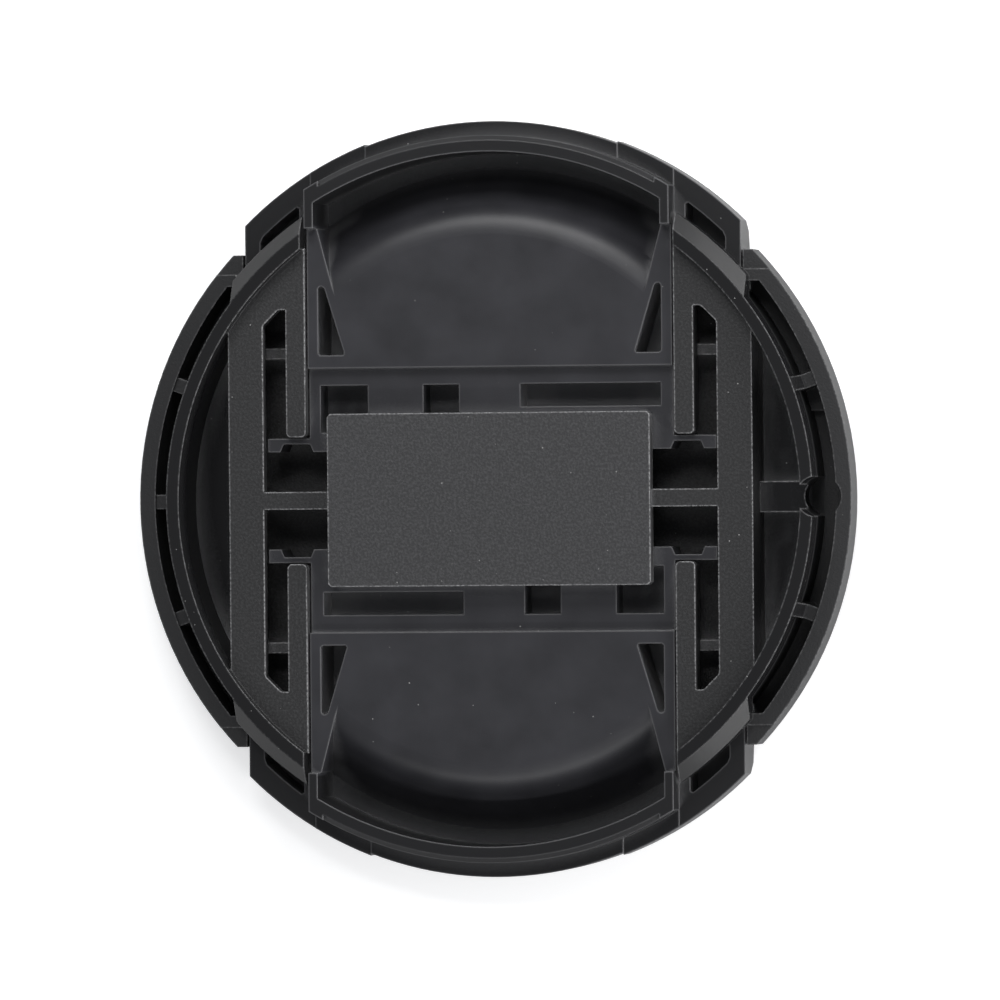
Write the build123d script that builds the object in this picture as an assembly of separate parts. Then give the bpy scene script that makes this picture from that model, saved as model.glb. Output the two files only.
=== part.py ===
from build123d import *
import os
from math import cos, hypot, radians, sin, sqrt, tan, tau

# A centre-pinch lens cap, lying on its front face with the lens side up.
# X runs across the levers, Y is the direction of the pinch, Z is the height above the front face.
# The right half of the body mirrors the left, and the lower lever is the upper one turned half round.

# Filter thread and grip
thread_minor_radius = 28.6
grip_reach = 1.4
lever_travel = 2.5

# Running clearances
side_clearance = 0.17
height_clearance = 0.2
stop_gap = 0.1
pinch_gap = 0.5

# Heights above the front face
front_wall = 1.2
lever_front_step = 0.15
flange_top = 5.5
corner_block_drop = 0.2
band_underside = 2.4
band_top = 6.35
plateau_top = 7.0
side_plate_top = 7.3
lip_top = 8.3
rim_top = 8.45

# Body: flange, rim and side plates
flange_overhang = 1.25
flange_wall = 1.3
flange_front_round = 2.0
coarse_round_steps = 2
side_segment_depth = 9.05
flange_end_trim = 0.84
flange_end_pad = 1.6
flange_end_drop = 0.12
pocket_end_wall = 2.6
pocket_rib_angle = 20.0
pocket_rib_wall = 1.2
pocket_rib_drop = 0.3
rib_gusset_length = 0.6
rib_gusset_drop = 0.4
pocket_block_length = 2.0
pocket_block_height = 1.0
rim_thread_clearance = 1.55
rim_wall = 1.05
rim_flare = 1.15
rim_flare_drop = 1.3
rim_end_setback = 0.16
side_plate_wall = 1.2
side_plate_border = 2.93
side_wall = 1.1

# Body: slots, snap legs, bars and centre plate
slot_width = 1.93
slot_end_wall = 0.4
slot_slant = 1.3
slot_corner = 0.45
leg_width = 1.63
leg_depth = 2.3
leg_corner = 0.4
guide_wall = 1.06
guide_top = 4.4
cross_rib_setback = 3.6
cross_rib_wall = 0.9
bar_width = 1.46
bar_lap = 1.0
centre_plate_inset = 1.94
centre_plate_width = 14.3
centre_plate_wall = 1.55
centre_plate_corner = 0.25

# Body: round notch in the right rim, with the pad that leads to it
notch_setback = 2.5
notch_diameter = 3.3
notch_pad_width = 2.56
notch_pad_height = 2.2

# Levers: flange, corner blocks and lip
lever_arc_ease = 0.7
corner_block_width = 5.36
flange_pad_length = 4.67
flange_pad_height = 0.17
flange_pad_drop = 0.12
corner_block_overlap = 1.5
corner_pocket_wall = 1.3
corner_pocket_side_wall = 0.93
corner_pocket_rim = 1.55
corner_pocket_corner = 0.28
lip_wall = 1.34
lip_bevel = 0.4
lip_bevel_end = 1.2
lip_return_wall = 0.77
lip_return_length = 2.1

# Levers: finger well, with the boss that it makes on the lens side
groove_floor_width = 1.24
plateau_radius = 19.2
boss_round = 3.0
boss_slope = 55.0
lever_wall = 1.2
wedge_wall = 0.74
wedge_tip_width = 0.87
well_end = 12.0
pinch_ridge_wall = 2.8
plateau_lap = 1.07
side_pocket_wall = 0.9
side_pocket_base = 2.23
side_pocket_tip = 0.5
side_pocket_length = 5.7
side_pocket_corner = 0.16
grip_rib_count = 9
grip_rib_pitch = 2.1
grip_rib_width = 0.8
grip_rib_height = 0.35
grip_rib_margin = 0.6

# Levers: slotted band and stop tabs
band_end = 4.03
band_floor = 0.8
band_edge_wall = 1.57
band_slot_wall = 1.43
end_slot_wall = 0.95
end_slot_length = 3.96
middle_slot_place = 4.19
middle_slot_length = 2.98
long_slot_wall = 1.07
long_slot_inner = 2.46
long_slot_width = 1.89
tab_width = 1.12
tab_side_clearance = 0.2
tab_notch_inset = 1.04
tab_notch_depth = 0.65
tab_notch_slant = 0.28

# Springs
spring_place = 8.0
spring_diameter = 2.6
spring_wire = 0.36
spring_turns = 6
runs_per_turn = 8
wire_facets = 5
spring_seat_depth = 2.0
spring_clearance = 0.15
spring_rail_width = 4.0

# Worked out from the sizes above
flange_radius = thread_minor_radius + flange_overhang
far = 2 * flange_radius
lever_flange_half_width = flange_radius - side_segment_depth
flange_half_gap = lever_flange_half_width + side_clearance
flange_half_length = sqrt(flange_radius**2 - flange_half_gap**2) - flange_end_trim
guide_half_width = lever_flange_half_width - corner_block_width
lever_half_width = guide_half_width - side_clearance
slot_half_width = guide_half_width + leg_width + slot_width
side_plate_half_width = slot_half_width + side_plate_border
rim_end_half_width = guide_half_width + rim_end_setback
rim_radius = thread_minor_radius - rim_thread_clearance
rim_inner_radius = rim_radius - rim_wall
corner_block_top = flange_top - corner_block_drop
rim_underside = corner_block_top + height_clearance
corner_block_end = flange_half_length - corner_block_overlap
corner_limit = corner_block_end - lever_travel - height_clearance
slot_end = corner_limit - slot_end_wall
centre_plate_underside = band_top + height_clearance
centre_plate_length = 2 * (guide_half_width - centre_plate_inset)
ridge_end = well_end - pinch_ridge_wall
bridge_half_width = ridge_end - lever_travel - pinch_gap
spring_rail_top = band_underside - height_clearance
lever_floor_top = lever_front_step + front_wall
lever_arc_radius = thread_minor_radius + lever_arc_ease
lever_flange_centre = flange_radius + grip_reach - lever_arc_radius
lip_centre = thread_minor_radius + grip_reach - lever_arc_radius
lip_inner_radius = lever_arc_radius - lip_wall
lip_return_inside = lever_half_width - lip_return_wall
lip_return_end = lip_centre + sqrt(lip_inner_radius**2 - lip_return_inside**2) - lip_return_length
boss_turn = radians(boss_slope)
boss_wall_height = plateau_top - lever_floor_top - boss_round * (1 - cos(boss_turn))
boss_foot_radius = plateau_radius + boss_round * sin(boss_turn) + boss_wall_height / tan(boss_turn)
boss_centre = lip_centre + lip_inner_radius - groove_floor_width - boss_foot_radius
plateau_end = well_end - plateau_lap
side_pocket_half_width = lever_half_width - side_pocket_wall
band_slot_end = plateau_end - band_slot_wall
tab_end = band_end + tab_width
leg_tip = tab_end + stop_gap
tab_half_width = slot_half_width - tab_side_clearance
spring_axis_height = spring_rail_top + height_clearance + spring_diameter / 2
spring_length = 2 * (band_end + spring_seat_depth - spring_clearance)


def slab(outline, low, high):
    """A flat outline raised from one height to another."""
    return Pos(0, 0, low) * extrude(outline, high - low, dir=(0, 0, 1))


def span(x_low, x_high, y_low, y_high):
    """A rectangle between two corners."""
    middle = Pos((x_low + x_high) / 2, (y_low + y_high) / 2)
    return middle * Rectangle(x_high - x_low, y_high - y_low)


def both_sides(shape):
    """A shape on the right with its mirror image on the left."""
    return shape + mirror(shape, Plane.YZ)


def four_quarters(shape):
    """A shape in one quarter with its mirror images in the other three."""
    return both_sides(shape + mirror(shape, Plane.XZ))


def disc(radius, centre=0.0):
    return Pos(0, centre) * Circle(radius)


def ring(outer, inner):
    return disc(outer) - disc(inner)


def turned(profile, centre=0.0):
    """A closed profile of radius and height, turned about an upright axis at Y = centre."""
    return Pos(0, centre, 0) * revolve(Plane.XZ * make_face(profile), Axis.Z)


def coarse_round(radius, level, round_radius, side, turn=tau / 4):
    """Points round the edge where a level face ends at a radius and bends up (1) or down (-1)."""
    angles = [turn * step / coarse_round_steps for step in range(coarse_round_steps + 1)]
    return [(radius + round_radius * sin(angle), level + side * round_radius * (1 - cos(angle)))
            for angle in angles]


def rounded_front(radius, low, round_radius, centre=0.0):
    """A full disc, as tall as the cap, with its front edge rounded over."""
    edge = coarse_round(radius - round_radius, low, round_radius, 1)
    return turned(Polyline(*edge, (radius, rim_top), (0, rim_top), (0, low), close=True), centre)


def body_flange():
    """Both flange arcs with their cored pockets, on the front wall that the bridge ties together."""
    arc_zone = both_sides(span(flange_half_gap, far, -flange_half_length, flange_half_length))
    wall_zone = both_sides(span(guide_half_width, far, -corner_limit, corner_limit))
    bridge_zone = span(-far, far, -bridge_half_width, bridge_half_width)
    pocket_half_length = flange_half_length - pocket_end_wall
    pocket_zone = span(-far, far, -pocket_half_length, pocket_half_length)
    arcs = arc_zone & ring(flange_radius, rim_inner_radius)
    pockets = pocket_zone & ring(flange_radius - flange_wall, rim_radius)
    front = (arc_zone + wall_zone + bridge_zone) & disc(flange_radius)
    solid = slab(front, 0, front_wall) + slab(arcs, 0, flange_top)
    solid -= slab(pockets, front_wall, rim_top)
    end_pads = four_quarters(span(0, far, flange_half_length - flange_end_pad, far))
    solid -= slab(end_pads, flange_top - flange_end_drop, rim_top)
    return solid & rounded_front(flange_radius, 0, flange_front_round)


def pocket_ribs():
    """Ribs across the flange pockets, each with a gusset up the rim, and a low block beside one of them."""
    inner = rim_radius - rim_wall / 2
    outer = flange_radius - flange_wall / 2
    rib_top = flange_top - pocket_rib_drop
    gusset_top = rim_top - rib_gusset_drop
    profile = Polyline((inner, front_wall / 2), (outer, front_wall / 2), (outer, rib_top),
                       (rim_radius + rib_gusset_length, rib_top), (rim_radius, gusset_top),
                       (inner, gusset_top), close=True)
    rib = extrude(Plane.XZ * make_face(profile), pocket_rib_wall / 2, both=True)
    angles = [-pocket_rib_angle, pocket_rib_angle, 180 - pocket_rib_angle, 180, 180 + pocket_rib_angle]
    ribs = Part() + [Rot(0, 0, angle) * rib for angle in angles]
    rib_place = inner * sin(tau * pocket_rib_angle / 360)
    block = span(0, far, rib_place - pocket_block_length, rib_place) & ring(outer, inner)
    return ribs + slab(block, front_wall / 2, front_wall + pocket_block_height)


def body_rim():
    """The raised rim: a plain wall inside each flange arc, flared where it bridges the lever corners."""
    wall = ring(rim_radius, rim_inner_radius)
    low_zone = both_sides(span(flange_half_gap, far, -flange_half_length, flange_half_length))
    end_zone = both_sides(span(rim_end_half_width, flange_half_gap + rim_wall / 2, -far, far))
    flare_radius = rim_radius + rim_flare
    flared = Polyline((rim_inner_radius, rim_underside), (flare_radius, rim_underside),
                      (flare_radius, rim_top - rim_flare_drop), (rim_radius, rim_top),
                      (rim_inner_radius, rim_top), close=True)
    ends = turned(flared) & slab(end_zone, rim_underside, rim_top)
    return slab(wall & low_zone, 0, rim_top) + ends


def side_plates():
    """The side plates with their slots, and the wall that carries each plate."""
    inside = disc(rim_inner_radius + rim_wall / 2)
    plate = both_sides(span(rim_end_half_width, side_plate_half_width, -far, far)) & inside
    plate += both_sides(span(guide_half_width, slot_half_width, -far, far)) & disc(rim_inner_radius)
    clear_edge = guide_half_width - side_clearance
    slot = make_face(Polyline((clear_edge, bar_width / 2), (slot_half_width, bar_width / 2),
                              (slot_half_width, slot_end - slot_slant),
                              (slot_half_width - slot_slant, slot_end), (clear_edge, slot_end), close=True))
    slot = fillet(slot.vertices().filter_by_position(Axis.Y, slot_end / 2, slot_end), slot_corner)
    wall = span(side_plate_half_width - side_wall, side_plate_half_width, -corner_limit, corner_limit)
    walls = slab(both_sides(wall) & inside, front_wall / 2, side_plate_top)
    plates = slab(plate, side_plate_top - side_plate_wall, side_plate_top)
    return plates - slab(four_quarters(slot), 0, rim_top) + walls


def legs_and_guides():
    """Four snap legs whose tips stop the levers, over the low guide walls and their cross ribs."""
    leg = span(guide_half_width, guide_half_width + leg_width, leg_tip, slot_end + leg_width)
    leg = fillet(leg.vertices().group_by(Axis.Y)[0], leg_corner)
    root = span(guide_half_width, guide_half_width + leg_width, leg_tip, slot_end)
    legs = slab(four_quarters(leg & root), side_plate_top - leg_depth, side_plate_top)
    legs += slab(four_quarters(leg), side_plate_top - side_plate_wall, side_plate_top)
    guide = span(guide_half_width, guide_half_width + guide_wall, bridge_half_width, corner_limit)
    rib_place = slot_end - cross_rib_setback
    rib = span(guide_half_width, side_plate_half_width - side_wall / 2,
               rib_place - cross_rib_wall / 2, rib_place + cross_rib_wall / 2)
    return legs + slab(four_quarters(guide + rib), front_wall / 2, guide_top)


def centre_plate():
    """The rectangular spring cover, the bars that hold it and the rails that the springs lie on."""
    cover = Rectangle(centre_plate_length, centre_plate_width)
    cover = chamfer(cover.vertices(), centre_plate_corner)
    bar_end = centre_plate_length / 2 - bar_lap
    bar = both_sides(span(bar_end, side_plate_half_width, -bar_width / 2, bar_width / 2))
    rail = span(spring_place - spring_rail_width / 2, spring_place + spring_rail_width / 2,
                -bridge_half_width, bridge_half_width)
    solid = slab(cover, centre_plate_underside, centre_plate_underside + centre_plate_wall)
    solid += slab(bar, front_wall / 2, side_plate_top)
    return solid + slab(both_sides(rail), front_wall / 2, spring_rail_top)


def cap_body():
    solid = body_flange() + pocket_ribs() + body_rim() + side_plates() + legs_and_guides() + centre_plate()
    pad = span(side_plate_half_width - side_wall / 2, rim_inner_radius + rim_wall / 2,
               -notch_pad_width / 2, notch_pad_width / 2)
    solid += slab(pad, front_wall / 2, front_wall + notch_pad_height)
    notch = Pos(flange_radius - notch_setback, 0) * Circle(notch_diameter / 2)
    return solid - slab(notch, front_wall, 2 * rim_top)


def lever_flange():
    """The flange with its corner blocks and end pads, over the floor that closes the front."""
    width = lever_flange_half_width
    outside = disc(lever_arc_radius + flange_pad_height, lever_flange_centre)
    block_zone = span(-width, width, corner_block_end, far) & outside
    groove_zone = span(-lip_return_inside, lip_return_inside, 0, far) & disc(lip_inner_radius, lip_centre)
    floor = span(-lever_half_width, lever_half_width, ridge_end, far) & outside
    pad_zone = both_sides(span(lever_half_width - flange_pad_length, far, 0, far))
    corner_zone = both_sides(span(lever_half_width, far, 0, far))
    pocket = span(lever_half_width + corner_pocket_side_wall, width - corner_pocket_wall,
                  corner_block_end + corner_pocket_wall, far)
    pocket &= disc(lever_arc_radius - corner_pocket_rim, lever_flange_centre)
    pockets = both_sides(chamfer(pocket.vertices(), corner_pocket_corner))
    solid = slab(block_zone - groove_zone, lever_front_step, flange_top)
    solid += slab(floor, lever_front_step, lever_floor_top)
    solid -= slab(pad_zone, flange_top - flange_pad_drop, rim_top)
    solid -= slab(corner_zone, corner_block_top, rim_top)
    solid -= slab(pockets, lever_floor_top, rim_top)
    edge = rounded_front(lever_arc_radius, lever_front_step, flange_front_round, lever_flange_centre)
    pad_edge = rounded_front(lever_arc_radius + flange_pad_height, lever_front_step,
                             flange_front_round, lever_flange_centre)
    return solid & (edge + (pad_edge & slab(pad_zone, 0, rim_top)))


def lever_lip():
    """The lip that grips the filter thread, with its bevelled edge and its two end returns."""
    low = lever_front_step + front_wall / 2
    profile = Polyline((lip_inner_radius, low), (lever_arc_radius, low),
                       (lever_arc_radius, lip_top - lip_bevel), (lever_arc_radius - lip_bevel, lip_top),
                       (lip_inner_radius, lip_top), close=True)
    bevel_half_width = lever_half_width - lip_bevel_end
    bevel_zone = span(-bevel_half_width, bevel_half_width, corner_block_end, far)
    end_zone = span(-lever_half_width, lever_half_width, corner_block_end, far) - bevel_zone
    end_arcs = end_zone & (disc(lever_arc_radius, lip_centre) - disc(lip_inner_radius, lip_centre))
    lip = turned(profile, lip_centre) & slab(bevel_zone, 0, lip_top)
    lip += slab(end_arcs, low, lip_top)
    end_return = span(lip_return_inside, lever_half_width, lip_return_end, far)
    end_return &= disc(lip_inner_radius + lip_wall / 2, lip_centre)
    return lip + slab(both_sides(end_return), low, lip_top)


def lever_boss():
    """The back of the finger well: a plateau with a rounded, sloping edge, between two wedges."""
    round_start = (plateau_radius, plateau_top)
    round_end = (plateau_radius + boss_round * sin(boss_turn), lever_floor_top + boss_wall_height)
    profile = [
        Polyline(round_end, (boss_foot_radius, lever_floor_top), (boss_foot_radius, lever_front_step),
                 (0, lever_front_step), (0, plateau_top), round_start),
        RadiusArc(round_start, round_end, boss_round),
    ]
    wedge_tip_half_width = lever_half_width - wedge_tip_width
    wedge_base_half_width = side_pocket_half_width - side_pocket_base - wedge_wall
    boss_half_width = lever_half_width - lip_return_wall / 2
    boss_zone = span(-boss_half_width, boss_half_width, plateau_end, far)
    boss = turned(Curve() + profile, boss_centre) & slab(boss_zone, lever_front_step, plateau_top)
    wedge = make_face(Polyline((lever_half_width, plateau_end), (lever_half_width, lip_return_end),
                               (wedge_tip_half_width, lip_return_end),
                               (wedge_base_half_width, plateau_end), close=True))
    return boss + slab(both_sides(wedge), lever_front_step, plateau_top)


def finger_well():
    """The hollow that a finger presses in, cut from the front, and the two pockets beside it."""
    ceiling = plateau_top - lever_wall
    edge = coarse_round(plateau_radius, ceiling, boss_round - lever_wall, -1, boss_turn)
    mouth_radius = edge[-1][0] + (edge[-1][1] + front_wall) / tan(boss_turn)
    profile = Polyline(*edge, (mouth_radius, -front_wall), (0, -front_wall), (0, ceiling), close=True)
    slope = (side_pocket_base - side_pocket_tip) / side_pocket_length
    near_half_width = side_pocket_half_width - side_pocket_base - side_pocket_wall * hypot(1, slope)
    far_half_width = near_half_width + slope * boss_foot_radius
    well_zone = make_face(Polyline((-near_half_width, well_end), (near_half_width, well_end),
                                   (far_half_width, well_end + boss_foot_radius),
                                   (-far_half_width, well_end + boss_foot_radius), close=True))
    well = turned(profile, boss_centre) & slab(well_zone, -front_wall, plateau_top)
    pocket_end = well_end + side_pocket_length
    pocket = make_face(Polyline((side_pocket_half_width, well_end), (side_pocket_half_width, pocket_end),
                                (side_pocket_half_width - side_pocket_tip, pocket_end),
                                (side_pocket_half_width - side_pocket_base, well_end), close=True))
    pockets = both_sides(chamfer(pocket.vertices(), side_pocket_corner))
    return well + slab(pockets, lever_floor_top, rim_top)


def lever_band():
    """The slotted band that runs under the centre plate, its stop tabs and the pinch ridge."""
    band = span(-lever_half_width, lever_half_width, band_end, plateau_end + lever_wall)
    tab = span(-tab_half_width, tab_half_width, band_end, tab_end)
    notch_outer = tab_half_width - tab_notch_inset
    notch = make_face(Polyline((lever_half_width - tab_notch_slant, band_end), (notch_outer, band_end),
                               (notch_outer - tab_notch_slant, band_end + tab_notch_depth),
                               (lever_half_width, band_end + tab_notch_depth), close=True))
    slot_start = band_end + band_edge_wall
    end_slot_outer = lever_half_width - end_slot_wall
    middle_slot_outer = middle_slot_place + middle_slot_length / 2
    slots = span(-end_slot_outer, end_slot_length - end_slot_outer, slot_start, band_slot_end)
    slots += span(-middle_slot_outer, middle_slot_length - middle_slot_outer, slot_start, band_slot_end)
    slots += span(long_slot_inner, lever_half_width - long_slot_wall,
                  band_slot_end - long_slot_width, band_slot_end)
    seat_half_width = spring_diameter / 2 + spring_clearance
    seat = both_sides(span(spring_place - seat_half_width, spring_place + seat_half_width,
                           0, band_end + spring_seat_depth))
    ridge = span(-lever_half_width, lever_half_width, ridge_end, well_end)
    solid = slab(band + tab - both_sides(notch), band_underside, band_top)
    solid += slab(ridge, lever_front_step, band_top)
    solid -= slab(slots, band_underside + band_floor, rim_top)
    return solid - slab(seat, 0, spring_axis_height + seat_half_width)


def grip_ribs():
    """Upright ribs on the face that the fingertip presses."""
    rib = Pos(0, well_end) * Rectangle(grip_rib_width, 2 * grip_rib_height)
    ribs = Sketch() + [place * rib for place in GridLocations(grip_rib_pitch, 0, grip_rib_count, 1)]
    low = lever_front_step + grip_rib_margin
    return slab(ribs, low, plateau_top - lever_wall - grip_rib_margin)


def pinch_lever():
    solid = lever_flange() + lever_lip() + lever_boss() + lever_band()
    return solid - finger_well() + grip_ribs()


def spring():
    """A coil along Y between the spring seats of the two levers, wound in short straight runs."""
    coil_radius = (spring_diameter - spring_wire) / 2
    run_count = spring_turns * runs_per_turn
    run_rise = (spring_length - spring_wire) / run_count
    points = []
    for run in range(run_count + 1):
        angle = tau * run / runs_per_turn
        points.append((coil_radius * cos(angle), (run - run_count / 2) * run_rise, coil_radius * sin(angle)))
    path = Polyline(*points)
    section = Plane(origin=path @ 0, z_dir=path % 0) * RegularPolygon(spring_wire / 2, wire_facets)
    return Pos(0, 0, spring_axis_height) * sweep(section, path, transition=Transition.RIGHT)


upper_lever = pinch_lever()
parts = {
    "cap_body": cap_body(),
    "upper_lever": upper_lever,
    "lower_lever": Rot(0, 0, 180) * upper_lever,
    "left_spring": Pos(-spring_place, 0, 0) * spring(),
    "right_spring": Pos(spring_place, 0, 0) * spring(),
}
os.makedirs("parts", exist_ok=True)
for name, shape in parts.items():
    export_step(shape, f"parts/{name}.step")
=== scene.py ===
import math

import bmesh
import bpy
from mathutils import Matrix, Vector


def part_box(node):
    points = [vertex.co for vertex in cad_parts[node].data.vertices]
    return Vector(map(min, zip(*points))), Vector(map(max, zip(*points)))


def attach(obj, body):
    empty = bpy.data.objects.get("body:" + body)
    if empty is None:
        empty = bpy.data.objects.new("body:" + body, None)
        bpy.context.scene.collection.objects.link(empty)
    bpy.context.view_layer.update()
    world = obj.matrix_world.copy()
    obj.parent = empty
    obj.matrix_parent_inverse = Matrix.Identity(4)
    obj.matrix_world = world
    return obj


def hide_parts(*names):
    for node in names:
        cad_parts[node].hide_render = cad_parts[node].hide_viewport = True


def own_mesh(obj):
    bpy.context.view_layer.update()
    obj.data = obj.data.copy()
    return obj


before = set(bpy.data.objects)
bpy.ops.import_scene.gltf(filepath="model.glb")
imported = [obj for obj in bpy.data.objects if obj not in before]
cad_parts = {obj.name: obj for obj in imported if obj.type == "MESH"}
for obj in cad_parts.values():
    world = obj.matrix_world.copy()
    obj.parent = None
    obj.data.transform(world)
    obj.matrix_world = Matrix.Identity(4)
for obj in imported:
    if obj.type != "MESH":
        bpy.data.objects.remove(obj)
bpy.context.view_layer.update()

MM = 0.001

# Cap body: one black moulding from a spark-eroded tool, so its flat faces have a coarse grain.
# Its edges are slightly rounded by the tool, and thin, broken bright lines along them are a painted
# highlight, fainter on the rim.
# The rim and the front wall at the sides were polished in the tool and stay smooth.
BODY_BLACK = (0.0155, 0.0155, 0.016, 1)
BODY_GREY = (0.0295, 0.0295, 0.0306, 1)
PLATE_BLACK = (0.0285, 0.0285, 0.0298, 1)
PLATE_GREY = (0.0505, 0.0505, 0.0525, 1)
WALL_BLACK = (0.006, 0.006, 0.0066, 1)
RIM_BLACK = (0.0165, 0.0165, 0.0174, 1)
POLISH_BLACK = (0.008, 0.008, 0.0085, 1)
# The edge grey below is a painted highlight for the edges.
BODY_EDGE_HIGHLIGHT_GREY = (0.3, 0.3, 0.304, 1)
# The haze grey below is painted light in the recesses.
RECESS_PAINTED_LIGHT_GREY = (0.22, 0.22, 0.226, 1)
DUST_GREY = (0.24, 0.24, 0.235, 1)
PLASTIC_SPECULAR = 0.32
BODY_ROUGHNESS = 0.5
POLISH_ROUGHNESS = 0.24
BODY_GRAIN_SCALE = 4800
BODY_GRAIN_DEPTH = 0.03 * MM
POLISH_GRAIN_DEPTH = 0.002 * MM
RIM_START = 25.97 * MM
POLISH_HEIGHT = 5.62 * MM
WALL_LEVEL = 1.2 * MM
PAD_LEVEL = 3.4 * MM
LEVEL_BAND = 0.04 * MM
SIDE_START = 20 * MM
PLATE_LEVEL = 7.8 * MM
PLATE_BAND = 0.4 * MM
SPECKLE_RANGE = (0.42, 0.7)
GLINT_RANGE = (0.35, 0.65)
GLINT_LEAST = 0.12
RIM_EDGE_HIGHLIGHT_SHARE = 0.4


def feed(tree, node, values):
    """Fill a node's inputs in order, each from a socket or with a constant."""
    for socket, value in zip(node.inputs, values):
        if isinstance(value, bpy.types.NodeSocket):
            tree.links.new(value, socket)
        else:
            socket.default_value = value


def maths(tree, operation, *values, clamp=False):
    """A sum on single values. Returns its result."""
    node = tree.nodes.new("ShaderNodeMath")
    node.operation = operation
    node.use_clamp = clamp
    feed(tree, node, values)
    return node.outputs["Value"]


def vector_maths(tree, operation, *values):
    """A sum on vectors. Returns its result, which is a single value for a length."""
    node = tree.nodes.new("ShaderNodeVectorMath")
    node.operation = operation
    feed(tree, node, values)
    return node.outputs["Value" if operation == "LENGTH" else "Vector"]


def remap(tree, value, from_range=(0, 1), to_range=(0, 1)):
    """A value moved from one range to another and held inside it."""
    node = tree.nodes.new("ShaderNodeMapRange")
    feed(tree, node, (value, *from_range, *to_range))
    return node.outputs["Result"]


def mix_colours(tree, share, first, second):
    """A mix of two colours by a share, each given as a socket or a constant."""
    mix = tree.nodes.new("ShaderNodeMix")
    mix.data_type = "RGBA"
    tree.links.new(share, mix.inputs["Factor"])
    for socket, value in ((mix.inputs[6], first), (mix.inputs[7], second)):
        if isinstance(value, tuple):
            socket.default_value = value
        else:
            tree.links.new(value, socket)
    return mix.outputs[2]


def moulded_skin():
    """Node group: grain, rounded edges, and masks for painted edge highlights, painted light in recesses
    and dust of a moulded face.
    """
    grain_detail = 2
    grain_roughness = 0.6
    edge_radius = 0.13 * MM
    edge_highlight_width = 0.14 * MM
    edge_highlight_range = (0.97, 0.6)
    edge_samples = 6
    recess_reach = 3 * MM
    recess_range = (0.45, 0.1)
    recess_samples = 4
    speck_scale = 1300
    speck_chance = (0.7, 1)
    speck_size = (0, 0.085)
    skin = bpy.data.node_groups.new("moulded_skin", "ShaderNodeTree")
    for name in ("Grain Scale", "Grain Depth"):
        skin.interface.new_socket(name, in_out="INPUT", socket_type="NodeSocketFloat")
    skin.interface.new_socket("Normal", in_out="OUTPUT", socket_type="NodeSocketVector")
    for name in ("Grain", "Edge", "Recess", "Dust"):
        skin.interface.new_socket(name, in_out="OUTPUT", socket_type="NodeSocketFloat")
    nodes = skin.nodes
    links = skin.links
    given = nodes.new("NodeGroupInput")
    result = nodes.new("NodeGroupOutput")
    place = nodes.new("ShaderNodeTexCoord")

    grain = nodes.new("ShaderNodeTexNoise")
    grain.inputs["Detail"].default_value = grain_detail
    grain.inputs["Roughness"].default_value = grain_roughness
    links.new(place.outputs["Object"], grain.inputs["Vector"])
    links.new(given.outputs["Grain Scale"], grain.inputs["Scale"])
    edge = nodes.new("ShaderNodeBevel")
    edge.samples = edge_samples
    edge.inputs["Radius"].default_value = edge_radius
    bump = nodes.new("ShaderNodeBump")
    bump.inputs["Strength"].default_value = 1
    links.new(given.outputs["Grain Depth"], bump.inputs["Distance"])
    links.new(grain.outputs["Fac"], bump.inputs["Height"])
    links.new(edge.outputs["Normal"], bump.inputs["Normal"])
    links.new(bump.outputs["Normal"], result.inputs["Normal"])
    links.new(grain.outputs["Fac"], result.inputs["Grain"])

    # Convex edges found by this inside occlusion get a painted highlight.
    thin = nodes.new("ShaderNodeAmbientOcclusion")
    thin.inside = True
    thin.only_local = True
    thin.samples = edge_samples
    thin.inputs["Distance"].default_value = edge_highlight_width
    links.new(remap(skin, thin.outputs["AO"], edge_highlight_range), result.inputs["Edge"])

    # Recesses found by this outside occlusion get painted light.
    sky = nodes.new("ShaderNodeAmbientOcclusion")
    sky.samples = recess_samples
    sky.inputs["Distance"].default_value = recess_reach
    links.new(remap(skin, sky.outputs["AO"], recess_range), result.inputs["Recess"])

    specks = nodes.new("ShaderNodeTexVoronoi")
    specks.inputs["Scale"].default_value = speck_scale
    links.new(place.outputs["Object"], specks.inputs["Vector"])
    chance = nodes.new("ShaderNodeSeparateColor")
    links.new(specks.outputs["Color"], chance.inputs["Color"])
    size = remap(skin, chance.outputs["Red"], speck_chance, speck_size)
    dust = maths(skin, "LESS_THAN", specks.outputs["Distance"], size)
    links.new(dust, result.inputs["Dust"])
    return skin


skin_group = moulded_skin()
body_plastic = bpy.data.materials.new("body_black_plastic")
body_plastic.use_nodes = True
tree = body_plastic.node_tree
shader = tree.nodes["Principled BSDF"]
shader.inputs["Specular IOR Level"].default_value = PLASTIC_SPECULAR
skin = tree.nodes.new("ShaderNodeGroup")
skin.node_tree = skin_group
skin.inputs["Grain Scale"].default_value = BODY_GRAIN_SCALE
place = tree.nodes.new("ShaderNodeTexCoord").outputs["Object"]
axes = tree.nodes.new("ShaderNodeSeparateXYZ")
tree.links.new(place, axes.inputs["Vector"])
height = axes.outputs["Z"]
radius = vector_maths(tree, "LENGTH", vector_maths(tree, "MULTIPLY", place, (1, 1, 0)))
outside = maths(tree, "GREATER_THAN", radius, RIM_START)
above = maths(tree, "GREATER_THAN", height, POLISH_HEIGHT)
polish = maths(tree, "MULTIPLY", outside, above)
low = maths(tree, "COMPARE", height, WALL_LEVEL, LEVEL_BAND)
pad = maths(tree, "COMPARE", height, PAD_LEVEL, LEVEL_BAND)
beside = maths(tree, "GREATER_THAN", maths(tree, "ABSOLUTE", axes.outputs["X"]), SIDE_START)
side_level = maths(tree, "MULTIPLY", maths(tree, "MAXIMUM", low, pad), beside)
wall = maths(tree, "SUBTRACT", side_level, outside, clamp=True)
smooth = maths(tree, "MAXIMUM", polish, wall)
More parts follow.
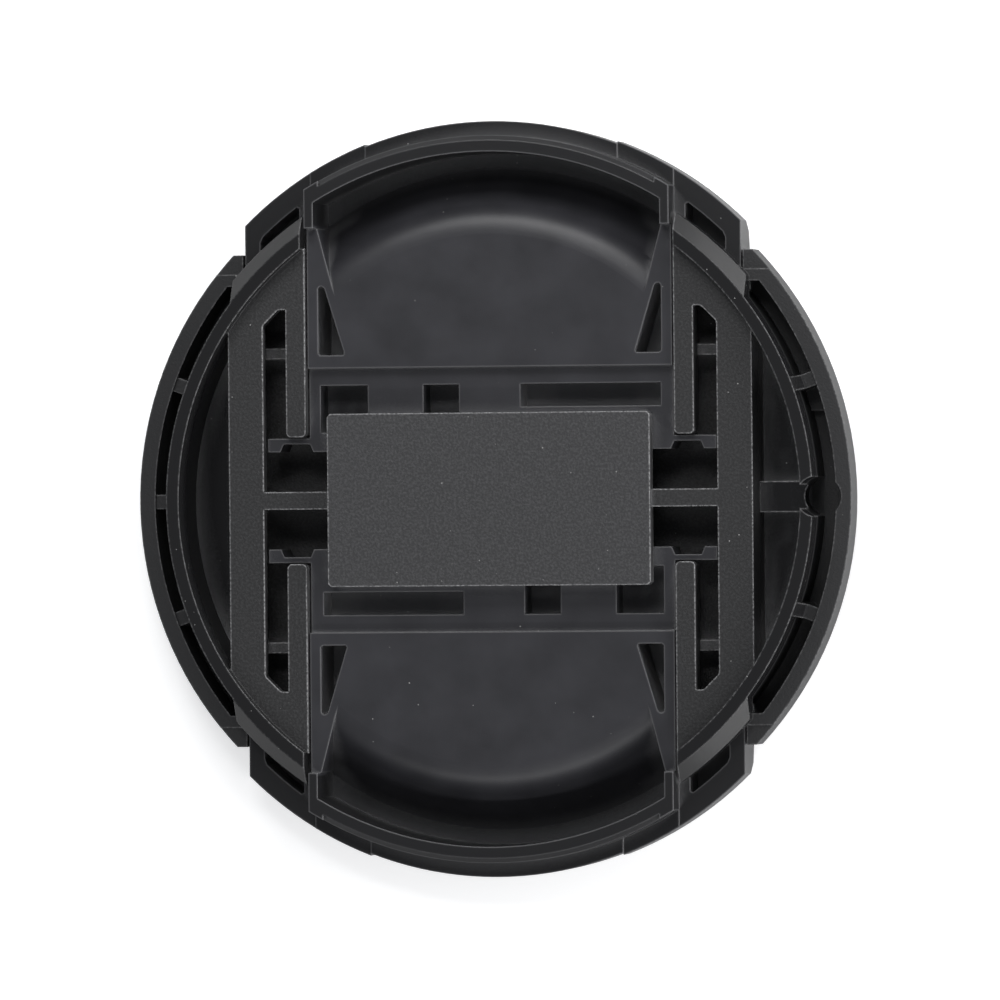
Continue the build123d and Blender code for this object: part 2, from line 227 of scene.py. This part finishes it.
depth = remap(tree, smooth, to_range=(BODY_GRAIN_DEPTH, POLISH_GRAIN_DEPTH))
tree.links.new(depth, skin.inputs["Grain Depth"])
gloss = remap(tree, smooth, to_range=(BODY_ROUGHNESS, POLISH_ROUGHNESS))
tree.links.new(gloss, shader.inputs["Roughness"])

plate = maths(tree, "COMPARE", height, PLATE_LEVEL, PLATE_BAND)
dark_grain = mix_colours(tree, plate, BODY_BLACK, PLATE_BLACK)
light_grain = mix_colours(tree, plate, BODY_GREY, PLATE_GREY)
speckle = remap(tree, skin.outputs["Grain"], SPECKLE_RANGE)
grained = mix_colours(tree, speckle, dark_grain, light_grain)
walled = mix_colours(tree, wall, grained, WALL_BLACK)
# Painted light: deep recesses are painted a lighter grey, in place of the light that fills them.
recess_lit = mix_colours(tree, skin.outputs["Recess"], walled, RECESS_PAINTED_LIGHT_GREY)
rimmed = mix_colours(tree, outside, recess_lit, RIM_BLACK)
polished = mix_colours(tree, polish, rimmed, POLISH_BLACK)
# Painted highlight: convex edges are painted light grey, broken up by the grain and fainter on the rim.
glint = remap(tree, skin.outputs["Grain"], GLINT_RANGE, (GLINT_LEAST, 1))
broken_edge_highlight = maths(tree, "MULTIPLY", skin.outputs["Edge"], glint)
rim_highlight_share = remap(tree, outside, to_range=(1, RIM_EDGE_HIGHLIGHT_SHARE))
painted_edge_highlight = maths(tree, "MULTIPLY", broken_edge_highlight, rim_highlight_share)
edge_highlighted = mix_colours(tree, painted_edge_highlight, polished, BODY_EDGE_HIGHLIGHT_GREY)
dusty = mix_colours(tree, skin.outputs["Dust"], edge_highlighted, DUST_GREY)
tree.links.new(dusty, shader.inputs["Base Color"])
tree.links.new(skin.outputs["Normal"], shader.inputs["Normal"])

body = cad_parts["cap_body"]
body.data.materials.clear()
body.data.materials.append(body_plastic)

# Pinch levers: one moulding used twice, in the same black plastic with a finer matte finish.
# Their large plateaus look slightly cloudy, because handling has polished the grain unevenly.
# The groove and the lip outside the finger well are darker.
LEVER_BLACK = (0.0115, 0.0115, 0.0134, 1)
LEVER_GREY = (0.034, 0.034, 0.0386, 1)
LIP_BLACK = (0.0078, 0.0078, 0.0086, 1)
# The lever edge grey below is a painted highlight for the edges.
LEVER_EDGE_HIGHLIGHT_GREY = (0.09, 0.09, 0.093, 1)
LEVER_ROUGHNESS = 0.4
LIP_ROUGHNESS = 0.36
LEVER_GRAIN_SCALE = 11000
LEVER_GRAIN_DEPTH = 0.006 * MM
CLOUD_SCALE = 260
CLOUD_DETAIL = 3
WELL_CENTRE = 2.7 * MM
WELL_FOOT_RADIUS = 24.75 * MM
PLATEAU_LEVEL = 7 * MM
PLATEAU_BAND = 0.02 * MM
lever_plastic = bpy.data.materials.new("lever_black_plastic")
lever_plastic.use_nodes = True
tree = lever_plastic.node_tree
shader = tree.nodes["Principled BSDF"]
shader.inputs["Specular IOR Level"].default_value = PLASTIC_SPECULAR
skin = tree.nodes.new("ShaderNodeGroup")
skin.node_tree = skin_group
skin.inputs["Grain Scale"].default_value = LEVER_GRAIN_SCALE
skin.inputs["Grain Depth"].default_value = LEVER_GRAIN_DEPTH
place = tree.nodes.new("ShaderNodeTexCoord").outputs["Object"]
axes = tree.nodes.new("ShaderNodeSeparateXYZ")
tree.links.new(place, axes.inputs["Vector"])
folded = vector_maths(tree, "ABSOLUTE", place)
from_well = vector_maths(tree, "MULTIPLY_ADD", folded, (1, 1, 0), (0, -WELL_CENTRE, 0))
beyond = maths(tree, "GREATER_THAN", vector_maths(tree, "LENGTH", from_well), WELL_FOOT_RADIUS)
plateau = maths(tree, "COMPARE", axes.outputs["Z"], PLATEAU_LEVEL, PLATEAU_BAND)
lip = maths(tree, "SUBTRACT", beyond, plateau, clamp=True)
gloss = remap(tree, lip, to_range=(LEVER_ROUGHNESS, LIP_ROUGHNESS))
tree.links.new(gloss, shader.inputs["Roughness"])

cloud = tree.nodes.new("ShaderNodeTexNoise")
cloud.inputs["Scale"].default_value = CLOUD_SCALE
cloud.inputs["Detail"].default_value = CLOUD_DETAIL
tree.links.new(place, cloud.inputs["Vector"])
clouded = mix_colours(tree, cloud.outputs["Fac"], LEVER_BLACK, LEVER_GREY)
zoned = mix_colours(tree, lip, clouded, LIP_BLACK)
# Painted light: deep recesses of the levers are painted a lighter grey, in place of the light that fills
# them.
recess_lit = mix_colours(tree, skin.outputs["Recess"], zoned, RECESS_PAINTED_LIGHT_GREY)
# Painted highlight: convex edges of the levers are painted a lighter grey.
edge_highlighted = mix_colours(tree, skin.outputs["Edge"], recess_lit, LEVER_EDGE_HIGHLIGHT_GREY)
dusty = mix_colours(tree, skin.outputs["Dust"], edge_highlighted, DUST_GREY)
tree.links.new(dusty, shader.inputs["Base Color"])
tree.links.new(skin.outputs["Normal"], shader.inputs["Normal"])

for name in ("upper_lever", "lower_lever"):
    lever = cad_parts[name]
    lever.data.materials.clear()
    lever.data.materials.append(lever_plastic)

# Springs: two coils of drawn steel wire, which push the levers apart under the centre plate.
# Each coil is drawn as two halves, one on the side of each lever, and both stay put at the middle of the
# cap.
STEEL_GREY = (0.5, 0.5, 0.51, 1)
STEEL_ROUGHNESS = 0.35
WIRE_RADIUS = 0.18 * MM
WIRE_SIDES = 10
TURN_STEPS = 28
HALF_TURNS = 3
steel = bpy.data.materials.new("spring_steel")
steel.use_nodes = True
shader = steel.node_tree.nodes["Principled BSDF"]
shader.inputs["Base Color"].default_value = STEEL_GREY
shader.inputs["Metallic"].default_value = 1
shader.inputs["Roughness"].default_value = STEEL_ROUGHNESS
for node in ("left_spring", "right_spring"):
    low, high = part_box(node)
    axis_place = (Vector(low) + Vector(high)) / 2
    half_length = (high[1] - low[1]) / 2
    coil_radius = (high[0] - low[0]) / 2 - WIRE_RADIUS
    for joint, side in (("upper_pinch", 1), ("lower_pinch", -1)):
        coil = bmesh.new()
        start = Matrix.Translation(axis_place + Vector((coil_radius, 0, 0)))
        bmesh.ops.create_circle(coil, cap_ends=True, segments=WIRE_SIDES, radius=WIRE_RADIUS, matrix=start)
        steps = HALF_TURNS * TURN_STEPS
        rise = side * (half_length - WIRE_RADIUS) / steps
        bmesh.ops.spin(coil, geom=coil.verts[:] + coil.edges[:] + coil.faces[:], cent=axis_place,
                       axis=(0, 1, 0), dvec=(0, rise, 0), angle=math.tau * HALF_TURNS, steps=steps)
        bmesh.ops.recalc_face_normals(coil, faces=coil.faces[:])
        for face in coil.faces:
            face.smooth = True
        mesh = bpy.data.meshes.new(f"{node}_{joint}_half")
        coil.to_mesh(mesh)
        coil.free()
        mesh.materials.append(steel)
        half = bpy.data.objects.new(mesh.name, mesh)
        bpy.context.scene.collection.objects.link(half)
        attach(half, "body")
        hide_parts(node)
        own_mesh(half)

# Floor: a white sheet that the cap lies on.
# The camera sees it bright, apart from where the cap covers it.
FLOOR_HALF_WIDTH = 1.5
FLOOR_GAP = 0.02 * MM
PAPER_WHITE = (0.9, 0.9, 0.9, 1)
PAPER_ROUGHNESS = 0.8
PAPER_GLOW = 0.36
GLOW_EDGE = (27.6 * MM, 28.6 * MM)
floor_mesh = bmesh.new()
bmesh.ops.create_grid(floor_mesh, x_segments=1, y_segments=1, size=FLOOR_HALF_WIDTH,
                      matrix=Matrix.Translation((0, 0, -FLOOR_GAP)))
floor_data = bpy.data.meshes.new("floor")
floor_mesh.to_mesh(floor_data)
floor_mesh.free()
floor = bpy.data.objects.new("floor", floor_data)
bpy.context.scene.collection.objects.link(floor)
paper = bpy.data.materials.new("white_paper")
paper.use_nodes = True
tree = paper.node_tree
shader = tree.nodes["Principled BSDF"]
shader.inputs["Base Color"].default_value = PAPER_WHITE
shader.inputs["Roughness"].default_value = PAPER_ROUGHNESS
shader.inputs["Emission Strength"].default_value = PAPER_GLOW
sight = tree.nodes.new("ShaderNodeLightPath")
place = tree.nodes.new("ShaderNodeTexCoord").outputs["Object"]
open_floor = remap(tree, vector_maths(tree, "LENGTH", place), GLOW_EDGE)
seen = maths(tree, "MULTIPLY", sight.outputs["Is Camera Ray"], open_floor)
tree.links.new(seen, shader.inputs["Emission Color"])
floor.data.materials.append(paper)

# Light: soft boxes at the right, the top and the bottom of the view, and two near the ceiling.
# The room around them is pale.
ROOM_COLOUR = (0.93, 0.95, 1, 1)
ROOM_LIGHT = 0.3
studio = bpy.context.scene
world = bpy.data.worlds.new("studio")
world.use_nodes = True
room = world.node_tree.nodes["Background"]
room.inputs["Color"].default_value = ROOM_COLOUR
room.inputs["Strength"].default_value = ROOM_LIGHT
studio.world = world


def soft_box(name, place, width, height, watts):
    """A rectangular lamp that faces the cap, in metres."""
    lamp = bpy.data.lights.new(name, "AREA")
    lamp.shape = "RECTANGLE"
    lamp.size = width
    lamp.size_y = height
    lamp.energy = watts
    box = bpy.data.objects.new(name, lamp)
    box.location = place
    box.rotation_euler = (-Vector(place)).to_track_quat("-Z", "Y").to_euler()
    studio.collection.objects.link(box)


soft_box("right_soft_box", place=(0.56, 0.0, 0.14), width=1.9, height=0.26, watts=10)
soft_box("top_soft_box", place=(0.0, 0.162, 0.14), width=0.16, height=0.07, watts=0.3)
soft_box("bottom_soft_box", place=(0.04, -0.47, 0.41), width=0.6, height=0.04, watts=1.1)
soft_box("upper_ceiling_box", place=(0.03, 0.38, 0.85), width=0.25, height=0.12, watts=1.1)
soft_box("lower_ceiling_box", place=(0.03, -0.38, 0.85), width=0.25, height=0.12, watts=0.4)

# Camera: it looks down on the lens side from slightly to the right.
VIEW_YAW = math.radians(10)
VIEW_ROLL = math.radians(-0.5)
VIEW_DISTANCE = 0.9
VIEW_TARGET = Vector((0.26, -0.08, 4)) * MM
PIXELS_PER_MM = 12.08
IMAGE_PIXELS = 1000
SENSOR_WIDTH = 36
camera_data = bpy.data.cameras.new("camera")
camera_data.sensor_width = SENSOR_WIDTH
camera_data.lens = PIXELS_PER_MM * VIEW_DISTANCE / MM * SENSOR_WIDTH / IMAGE_PIXELS
camera = bpy.data.objects.new("camera", camera_data)
away = Vector((math.sin(VIEW_YAW), 0, math.cos(VIEW_YAW)))
right = Vector((math.cos(VIEW_YAW), 0, -math.sin(VIEW_YAW)))
turn = Matrix((right, Vector((0, 1, 0)), away)).transposed()
camera.matrix_world = (Matrix.Translation(VIEW_TARGET + VIEW_DISTANCE * away) @ turn.to_4x4()
                       @ Matrix.Rotation(VIEW_ROLL, 4, "Z"))
studio.collection.objects.link(camera)
studio.camera = camera
studio.view_settings.view_transform = "Standard"
